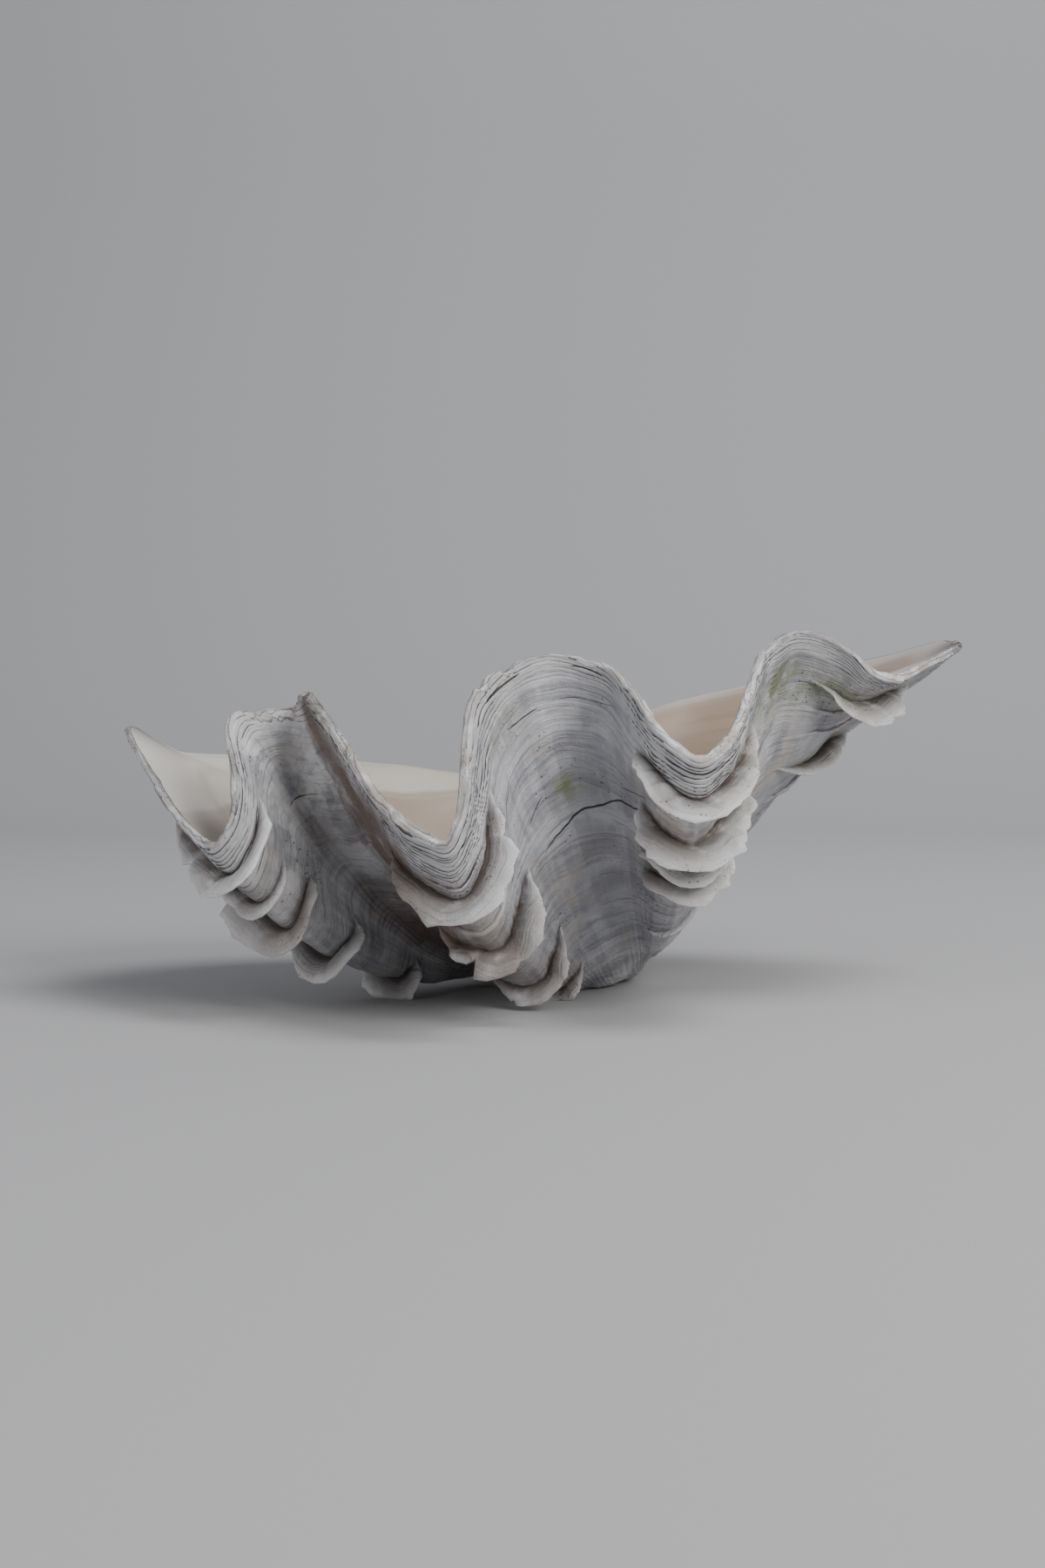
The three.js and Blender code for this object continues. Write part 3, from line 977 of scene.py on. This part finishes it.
    def _hollows(self, points: Array) -> Array:
        """How far each point lies below its surroundings: the mean of its neighbours a few
        steps away, less the point, measured along the outward normal.

        Args:
            points: (columns, rows, 3) points.

        Returns:
            (columns, rows) depths in mm.
        """
        blurred = points
        for _ in range(self.BLUR_STEPS):
            sideways = (np.roll(blurred, 1, 0) + np.roll(blurred, -1, 0)) / 2
            padded = np.concatenate([blurred[:, :1], blurred, blurred[:, -1:]], 1)
            lengthways = (padded[:, 2:] + padded[:, :-2]) / 2
            blurred = (2 * blurred + sideways + lengthways) / 4
        return ((blurred - points) * normals(points, np.gradient(points, axis=1))).sum(-1)

    def placed(self, points: Array, low: Vector, high: Vector) -> tuple[Array, Array]:
        """Moves the surface to its node's box, in metres, worn flat where it rests.

        Args:
            points: (columns, rows, 3) in mm.
            low: lowest corner of the node.
            high: highest corner of the node.

        Returns:
            The placed points, and the shift that placed them.
        """
        metres = points * MM
        flat = metres.reshape(-1, 3)
        middle = (flat.min(0) + flat.max(0)) / 2
        shift = np.array([
            (low.x + high.x) / 2 - middle[0],
            (low.y + high.y) / 2 - middle[1],
            low.z - self.resting_level * MM,
        ])
        metres = metres + shift
        metres[..., 2] = np.maximum(metres[..., 2], low.z)
        return metres, shift

    def build(self, node: str) -> tuple[bpy.types.Object, Array]:
        """Makes the mesh object of the valve.

        Args:
            node: CAD node that it stands for.

        Returns:
            The object, and the shift from the margin's frame to the part's, in metres.
        """
        points, paint = self.surface()
        placed, shift = self.placed(points, *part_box(node))
        poles = np.array([self.outside.pole, self.inside.pole]) * MM + shift
        piece = closed_grid_object("clam_valve", placed, poles)
        for name, values in paint.items():
            ends = [values[:, 0].mean(), values[:, -1].mean()]
            paint_points(piece, name, "value", np.concatenate([values.reshape(-1), ends]))
        ring = np.broadcast_to(self.ring[:, None] * MM, points.shape[:2] + (2,))
        spots = np.concatenate([ring, paint["growth"][..., None]], -1).reshape(-1, 3)
        paint_points(piece, "round", "vector", np.concatenate([spots, np.zeros((2, 3))]))
        log.info("%s: %d faces", piece.name, len(piece.data.polygons))
        return piece, shift


def linked(name: str, data: bpy.types.ID) -> bpy.types.Object:
    """New object of some data, linked to the scene.

    Args:
        name: object name.
        data: its mesh, light or camera.

    Returns:
        The object.
    """
    item = bpy.data.objects.new(name, data)
    bpy.context.scene.collection.objects.link(item)
    return item


def paint_points(piece: bpy.types.Object, name: str, key: str, values: Array) -> None:
    """Stores a value or a vector at every point of a piece.

    Args:
        piece: the mesh object.
        name: attribute name.
        key: "value" or "vector".
        values: one of them for each point.
    """
    kind = {"value": "FLOAT", "vector": "FLOAT_VECTOR"}[key]
    attribute = piece.data.attributes.new(name, kind, "POINT")
    attribute.data.foreach_set(key, values.astype(np.float32).reshape(-1))


def closed_grid_object(name: str, grid: Array, poles: Array) -> bpy.types.Object:
    """Mesh object of a grid closed round its columns and at both ends by a pole point.

    Args:
        name: object name.
        grid: (columns, rows, 3) points, metres.
        poles: (2, 3) points before the first row and after the last.

    Returns:
        The linked, smooth-shaded object.
    """
    columns, rows = grid.shape[:2]
    here = np.arange(columns * rows).reshape(columns, rows)
    there = np.roll(here, -1, 0)
    start, end = np.full(columns, columns * rows), np.full(columns, columns * rows + 1)
    quads = np.stack([here[:, :-1], there[:, :-1], there[:, 1:], here[:, 1:]], -1)
    first = np.stack([start, there[:, 0], here[:, 0]], -1)
    last = np.stack([here[:, -1], there[:, -1], end], -1)
    corners = np.concatenate([quads.reshape(-1), first.reshape(-1), last.reshape(-1)])
    sizes = np.repeat([4, 3], [columns * (rows - 1), 2 * columns])
    vertices = np.concatenate([grid.reshape(-1, 3), poles])
    mesh = bpy.data.meshes.new(name)
    mesh.vertices.add(len(vertices))
    mesh.vertices.foreach_set("co", vertices.astype(np.float32).reshape(-1))
    mesh.loops.add(len(corners))
    mesh.loops.foreach_set("vertex_index", corners.astype(np.int32))
    mesh.polygons.add(len(sizes))
    mesh.polygons.foreach_set("loop_start", (np.cumsum(sizes) - sizes).astype(np.int32))
    mesh.polygons.foreach_set("use_smooth", np.ones(len(sizes), bool))
    mesh.update(calc_edges=True)
    mesh.validate()
    return linked(name, mesh)


class Nodes:
    """Small helper that adds and joins shader nodes of one material."""

    def __init__(self, name: str) -> None:
        """Makes the material that the nodes are for.

        Args:
            name: its name.
        """
        self.material = bpy.data.materials.new(name)
        self.material.use_nodes = True
        self.tree = self.material.node_tree
        self.shader = self.tree.nodes["Principled BSDF"]

    def link(self, source: object, target: Socket) -> None:
        """Joins a socket to an input, or sets the input to a plain value.

        Args:
            source: the socket or value.
            target: the input.
        """
        if isinstance(source, Socket):
            self.tree.links.new(source, target)
        else:
            target.default_value = source

    def add(self, kind: str, inputs: dict[int | str, object], **settings: object) -> bpy.types.Node:
        """Adds a node.

        Args:
            kind: its type, without the common prefix.
            inputs: a socket or plain value for each input.
            settings: its other properties.

        Returns:
            The node.
        """
        node = self.tree.nodes.new("ShaderNode" + kind)
        for name, value in settings.items():
            setattr(node, name, value)
        for name, source in inputs.items():
            self.link(source, node.inputs[name])
        return node

    @cached_property
    def place(self) -> Socket:
        """Object coordinates."""
        return self.add("TexCoord", {}).outputs["Object"]

    def attribute(self, name: str) -> Socket:
        """Painted value of the piece."""
        return self.add("Attribute", {}, attribute_name=name).outputs["Fac"]

    def math(self, kind: str, a: object, b: object = 0.0, clamp: bool = False) -> Socket:
        """Arithmetic on two values."""
        return self.add("Math", {0: a, 1: b}, operation=kind, use_clamp=clamp).outputs[0]

    def times(self, first: object, *others: object, clamp: bool = False) -> Socket:
        """Product of values."""
        for other in others:
            first = self.math("MULTIPLY", first, other, clamp)
        return first

    def band(self, value: object, low: float, high: float) -> Socket:
        """Smooth step of a value: 0 at low, 1 at high."""
        inputs = {"Value": value, "From Min": low, "From Max": high}
        return self.add("MapRange", inputs, interpolation_type="SMOOTHSTEP").outputs["Result"]

    def mix(self, share: object, a: object, b: object) -> Socket:
        """Colour blended from a to b by a share."""
        return self.add("Mix", {"Factor": share, "A": a, "B": b}, data_type="RGBA").outputs["Result"]

    def layered(self, tone: object, *layers: tuple) -> Socket:
        """A tone under layers.

        Args:
            tone: the colour below them.
            layers: a colour and the shares whose product covers what is below, each.

        Returns:
            The colour on top.
        """
        for colour, *shares in layers:
            tone = self.mix(self.times(*shares), tone, colour)
        return tone

    def noise(self, scale: float, detail: float = 3, rough: float = 0.5, **where: Socket) -> Socket:
        """Noise value in object coordinates, or at another Vector."""
        inputs = {"Vector": self.place, "Scale": scale, "Detail": detail, "Roughness": rough}
        return self.add("TexNoise", inputs | where).outputs["Fac"]

    def cloudy(self, scale: float, detail: float, low: float, high: float) -> Socket:
        """Smooth step of noise: cloudy patches of 0 and 1."""
        return self.band(self.noise(scale, detail), low, high)

    def streaks(self, across: float, along: float, detail: float = 3, rough: float = 0.5) -> Socket:
        """Noise drawn out round the shell or along its growth.

        Args:
            across: scale round the shell, across the ribs.
            along: scale along the growth.
            detail: octaves of the noise.
            rough: share kept from one octave to the next.

        Returns:
            The noise value.
        """
        source = self.add("Attribute", {}, attribute_name="round").outputs["Vector"]
        stretch = {0: source, 1: (across, across, along)}
        where = self.add("VectorMath", stretch, operation="MULTIPLY").outputs["Vector"]
        return self.noise(1, detail, rough, Vector=where)

    def pits(self, scale: float) -> Socket:
        """Distance to the nearest scattered pit."""
        return self.add("TexVoronoi", {"Vector": self.place, "Scale": scale}).outputs["Distance"]

    def bump(self, height: object, strength: float, distance: float, **under: Socket) -> Socket:
        """Surface normal raised by a height, over another Normal if one is given."""
        inputs = {"Strength": strength, "Distance": distance, "Height": height, **under}
        return self.add("Bump", inputs).outputs["Normal"]


@dataclass(frozen=True)
class ShellFinish:
    """Chalky weathered outside, white broken edge and satin inside of the shell."""

    chalk: Colour = (0.53, 0.53, 0.555, 1)
    grey: Colour = (0.235, 0.235, 0.26, 1)
    warm: Colour = (0.50, 0.435, 0.37, 1)
    # White of lips, edge and bare chalk, also painted light on the plates' margin-side faces.
    white: Colour = (0.85, 0.84, 0.84, 1)
    # Dark brown of dirt, also painted shade in hollows and under the scutes' roots.
    dirt_and_shade: Colour = (0.085, 0.058, 0.040, 1)
    # Soil brown, also painted shade in the second fold's valley.
    soil: Colour = (0.125, 0.082, 0.058, 1)
    # Near black of the cracks, also the painted shadow at the foot of each lamina.
    crack: Colour = (0.022, 0.020, 0.020, 1)
    algae: Colour = (0.20, 0.22, 0.10, 1)
    rim: Colour = (0.58, 0.53, 0.47, 1)
    cream: Colour = (0.56, 0.51, 0.435, 1)
    peach: Colour = (0.33, 0.24, 0.18, 1)
    tan: Colour = (0.26, 0.175, 0.12, 1)
    outside_roughness: float = 0.85
    inside_roughness: float = 0.42
    shine: float = 0.35
    # Scale of the fine growth lines and of the broad bands, along the growth.
    line_scale: float = 420.0
    band_scale: float = 110.0

    def build(self) -> bpy.types.Material:
        """Makes the material.

        Returns:
            The material.
        """
        n = Nodes("weathered_shell")
        inside = n.band(n.attribute("inside"), 0.3, 0.7)
        outer = n.math("SUBTRACT", 1, inside)
        lines = n.streaks(14, self.line_scale, 4, 0.65)
        bands = n.streaks(11, self.band_scale, 2)
        interior = n.layered(
            self._inside_colour(n),
            (self.grey, n.attribute("weather")),
            (self.soil, n.attribute("soil")),
        )
        colour = n.layered(
            n.mix(inside, self._outside_colour(n, lines, bands), interior),
            (self._edge_colour(n, lines), n.band(n.attribute("edge"), 0.15, 0.5), 0.85),
            # Painted shadow at the foot of each lamina and between the thin leaves, in the crack
            # colour.
            (self.crack, self._step_shadow(n), outer),
        )
        rough = n.times(inside, self.inside_roughness - self.outside_roughness)
        n.link(colour, n.shader.inputs["Base Color"])
        n.link(n.math("ADD", rough, self.outside_roughness), n.shader.inputs["Roughness"])
        n.link(self.shine, n.shader.inputs["Specular IOR Level"])
        n.link(self._relief(n, lines, bands), n.shader.inputs["Normal"])
        return n.material

    def _outside_colour(self, n: Nodes, lines: Socket, bands: Socket) -> Socket:
        """Outer skin: grey growth lines and bands crossed by rays on cool chalk, bare and
        weathered areas (the bare patch on the second fold's face is painted light), pale scutes
        whose margin-side faces are partly painted light, green stains, brown soil that is painted
        shade in the second fold's valley, dirt and painted shade in hollows and below the scutes'
        roots, paler rises, thin dark cracks and specks.

        Args:
            n: nodes of the material.
            lines: noise of the fine growth lines.
            bands: noise of the broad growth bands.

        Returns:
            The colour.
        """
        cup, lip, hollow = n.attribute("cup"), n.attribute("lip"), n.attribute("hollow")
        rays = n.streaks(120, 6, 1.5)
        mottle = n.band(n.noise(55, 5, 0.6), 0.38, 0.66)
        cloud = n.noise(26, 5, 0.6)
        fresh = n.mix(n.band(cloud, 0.4, 0.6), self.white, self.rim)
        bare = n.times(n.attribute("bare"), n.band(mottle, 1, 0.1), clamp=True)
        # Paler lips and plate faces; the faces' paleness is partly their own tone, partly painted
        # light.
        pale = n.math("MAXIMUM", n.band(lip, 0.5, 0.95), n.times(cup, 0.8))
        pale = n.math("MAXIMUM", pale, n.times(n.attribute("crowd"), 0.35))
        soil = n.times(n.attribute("soil"), n.cloudy(40, 5, 0.2, 0.55), clamp=True)
        sunk = n.times(n.band(hollow, 0.15, 1), n.cloudy(70, 4, 0.38, 0.62))
        open_face = n.math("SUBTRACT", 1, n.math("MAXIMUM", cup, lip), True)
        gap = n.math("SUBTRACT", n.attribute("gape"), n.math("ABSOLUTE", n.attribute("crack")))
        waver = n.times(n.math("SUBTRACT", n.noise(220), 0.55), 0.35)
        return n.layered(
            self.chalk,
            (self.grey, mottle, 0.42),
            (self.grey, n.band(bands, 0.42, 0.72), 0.45),
            (self.grey, n.band(lines, 0.5, 0.66), 0.7),
            (self.grey, n.band(rays, 0.42, 0.6), n.band(bands, 0.3, 0.55), 0.45),
            (self.warm, n.band(cloud, 0.52, 0.68), 0.6),
            # Bare chalk, and painted light in the pale patch on the second fold's face.
            (fresh, bare, 0.85),
            (self.grey, n.attribute("weather"), n.cloudy(48, 4, 0.3, 0.62), 0.6),
            # White lips and plate faces, the faces partly painted light.
            (self.white, pale, 0.85),
            (self.rim, cup, n.cloudy(42, 4, 0.4, 0.62), 0.6),
            (self.white, n.band(n.times(hollow, -1), 0.1, 0.8), 0.4),
            (self.algae, n.attribute("algae"), n.cloudy(110, 4, 0.34, 0.54), 0.9),
            # Soil, and painted shade in the second fold's valley.
            (self.soil, soil, 0.85),
            # Dirt and painted shade in the hollows, kept off the plates' faces and lips.
            (self.dirt_and_shade, sunk, open_face, 0.5),
            # Dirt and painted shade in the crease under each scute's root.
            (self.dirt_and_shade, n.attribute("grime_and_shade"), n.cloudy(90, 4, 0.24, 0.5), 0.95),
            (self.crack, n.band(n.math("ADD", gap, waver), 0, 0.22), 0.92),
            (self.dirt_and_shade, n.band(n.pits(380), 0.24, 0.12), n.cloudy(38, 3, 0.52, 0.64), 0.8),
        )

    def _step_shadow(self, n: Nodes) -> Socket:
        """Painted shadow: a dark line at the foot of each lamina, broken up along its length, and
        darker ones between the thin leaves near the edge.

        Args:
            n: nodes of the material.

        Returns:
            The strength of the dark lines.
        """
        crowd = n.attribute("crowd")
        foot = n.band(n.math("FRACT", n.attribute("lamina")), 0.13, 0)
        spaced = n.math("SUBTRACT", 1, crowd, True)
        leaf = n.band(n.math("FRACT", n.attribute("leaf")), 0.32, 0.02)
        broken = n.band(n.streaks(60, 220), 0.32, 0.54)
        foot = n.times(foot, n.cloudy(34, 3, 0.45, 0.68), spaced, 0.4)
        return n.math("MAXIMUM", foot, n.times(leaf, crowd, broken, 0.95))

    def _edge_colour(self, n: Nodes, lines: Socket) -> Socket:
        """Broken edge: chalk white and cream, grey lines, stains (soil, and painted shade by the
        second fold's valley) and brown specks.

        Args:
            n: nodes of the material.
            lines: noise of the fine growth lines.

        Returns:
            The colour.
        """
        return n.layered(
            n.mix(n.cloudy(90, 4, 0.38, 0.58), self.white, self.rim),
            (self.grey, n.band(lines, 0.44, 0.62), 0.7),
            (self.grey, n.attribute("weather"), 0.8),
            # Soil, and painted shade by the second fold's valley.
            (self.dirt_and_shade, n.attribute("soil"), n.cloudy(130, 4, 0.35, 0.6), 0.8),
            (self.dirt_and_shade, n.band(n.pits(520), 0.3, 0.16), n.cloudy(60, 3, 0.46, 0.6), 0.75),
        )

    def _inside_colour(self, n: Nodes) -> Socket:
        """Inner skin: cream in the left lobe, peach to the right, tan below a darker line,
        paler towards the margin, with faint streaks and pale clouds.

        Args:
            n: nodes of the material.

        Returns:
            The colour.
        """
        axes = n.add("SeparateXYZ", {0: n.place}).outputs
        soft = n.noise(11)
        shade = n.times(n.math("SUBTRACT", soft, 0.5), 0.1)
        right = n.math("ADD", axes["X"], shade)
        low = n.math("ADD", axes["Z"], n.times(shade, 0.25))
        return n.layered(
            self.cream,
            (self.peach, n.band(right, -0.06, 0.09), 0.9),
            (self.tan, n.band(low, 0.0925, 0.088), 0.65),
            (self.dirt_and_shade, n.band(low, 0.0945, 0.092), n.band(low, 0.089, 0.0915), 0.35),
            (self.white, n.band(n.attribute("growth"), 0.34, 0.4), 0.35),
            (self.tan, n.band(n.streaks(9, 60), 0.52, 0.72), 0.3),
            (self.white, n.band(soft, 0.6, 0.8), 0.2),
        )

    def _relief(self, n: Nodes, lines: Socket, bands: Socket) -> Socket:
        """Fine growth lines, chalk grain and pits outside, a smooth inside.

        Args:
            n: nodes of the material.
            lines: noise of the fine growth lines.
            bands: noise of the broad growth bands.

        Returns:
            The surface normal.
        """
        outer = n.math("SUBTRACT", 1, n.attribute("inside"))
        grain = n.math("ADD", n.noise(900), n.times(n.noise(260, 4), 1.6))
        pits = n.times(n.band(n.pits(320), 0, 0.25), 0.8)
        fine = n.bump(n.times(n.math("ADD", grain, pits), outer), 0.5, 0.0007)
        ridges = n.math("ADD", n.times(lines, 1.6), bands)
        return n.bump(n.times(ridges, outer), 0.85, 0.0015, Normal=fine)


@dataclass
class Studio:
    """Plain pale sweep, soft light from the right and front, and the camera."""

    half_width: float = 4.0
    front: float = -3.0
    bend: float = 1.1
    bend_radius: float = 0.9
    wall_height: float = 3.0
    paint: Colour = (0.46, 0.46, 0.465, 1)
    surround: Colour = (0.80, 0.82, 0.88, 1)
    surround_strength: float = 0.29
    camera_place: tuple[float, float, float] = (0.0, -1.0, 0.153)
    camera_pitch_deg: float = -2.93
    lens_mm: float = 50.0
    film_mm: float = 36.0

    def sweep(self, level: float) -> None:
        """Floor that curves up into a wall: a flat run, a quarter circle and an upright, extruded
        sideways.

        Args:
            level: height of the floor.
        """
        turn = np.linspace(0, np.pi / 2, 24)
        y = np.concatenate([[self.front], self.bend + self.bend_radius * np.sin(turn)])
        z = np.concatenate([[0.0], self.bend_radius * (1 - np.cos(turn))])
        y, z = np.append(y, y[-1]), np.append(z, self.wall_height) + level
        side = np.repeat([-self.half_width, self.half_width], len(y))
        points = np.stack([side, np.tile(y, 2), np.tile(z, 2)], -1)
        first = np.arange(len(y) - 1)
        faces = np.stack([first, first + len(y), first + len(y) + 1, first + 1], -1)
        mesh = bpy.data.meshes.new("sweep")
        mesh.from_pydata(points.tolist(), [], faces.tolist())
        mesh.polygons.foreach_set("use_smooth", np.ones(len(faces), bool))
        n = Nodes("pale_sweep")
        n.link(self.paint, n.shader.inputs["Base Color"])
        n.link(0.95, n.shader.inputs["Roughness"])
        mesh.materials.append(n.material)
        linked("sweep", mesh)

    def light(
        self, name: str, place: Vector, aim: Vector, size: float, watts: float, colour: tuple
    ) -> None:
        """One square soft light aimed at a point.

        Args:
            name: object name.
            place: where it stands.
            aim: the point.
            size: side of the square, metres.
            watts: power.
            colour: red, green and blue.
        """
        data = bpy.data.lights.new(name, "AREA")
        data.size, data.energy, data.color = size, watts, colour
        lamp = linked(name, data)
        lamp.location = place
        lamp.rotation_euler = (aim - place).to_track_quat("-Z", "Y").to_euler()

    def lights(self, centre: Vector) -> None:
        """Key from the right front, a broad wash on the wall, a weak fill and surround.

        Args:
            centre: middle of the valve.
        """
        warm, cool = (1.0, 0.99, 0.97), (0.97, 0.98, 1.0)
        wall = centre + Vector((0.4, 2.0, 0.4))
        self.light("key", centre + Vector((1.05, -1.2, 0.95)), centre, 1.1, 25.5, warm)
        self.light("wash", centre + Vector((0.9, -0.2, 2.2)), wall, 1.2, 40.0, cool)
        self.light("fill", centre + Vector((-1.4, -1.1, 0.5)), centre, 1.3, 9.0, cool)
        world = bpy.data.worlds.new("surround")
        world.use_nodes = True
        background = world.node_tree.nodes["Background"]
        background.inputs["Color"].default_value = self.surround
        background.inputs["Strength"].default_value = self.surround_strength
        bpy.context.scene.world = world

    def camera(self, shift: Array) -> None:
        """Camera in front of the shell, a little above its middle, looking along +Y.

        Args:
            shift: from the margin's frame to the part's, in metres.
        """
        data = bpy.data.cameras.new("camera")
        data.lens, data.sensor_fit = self.lens_mm, "VERTICAL"
        data.sensor_width = data.sensor_height = self.film_mm
        camera = linked("camera", data)
        camera.location = Vector(self.camera_place) + Vector(shift)
        camera.rotation_euler = (np.radians(90 + self.camera_pitch_deg), 0, 0)
        bpy.context.scene.camera = camera


def main() -> None:
    """Builds the valve, its finish and the studio."""
    logging.basicConfig(level=logging.INFO, format="%(name)s: %(message)s")
    low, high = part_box("valve")
    valve, shift = ClamValve().build("valve")
    valve.data.materials.append(ShellFinish().build())
    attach(valve, "root")
    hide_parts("valve")
    log.info("dressed %s", valve.name)
    studio = Studio()
    studio.sweep(low.z)
    studio.lights((low + high) / 2)
    studio.camera(shift)


if __name__ == "__main__":
    main()
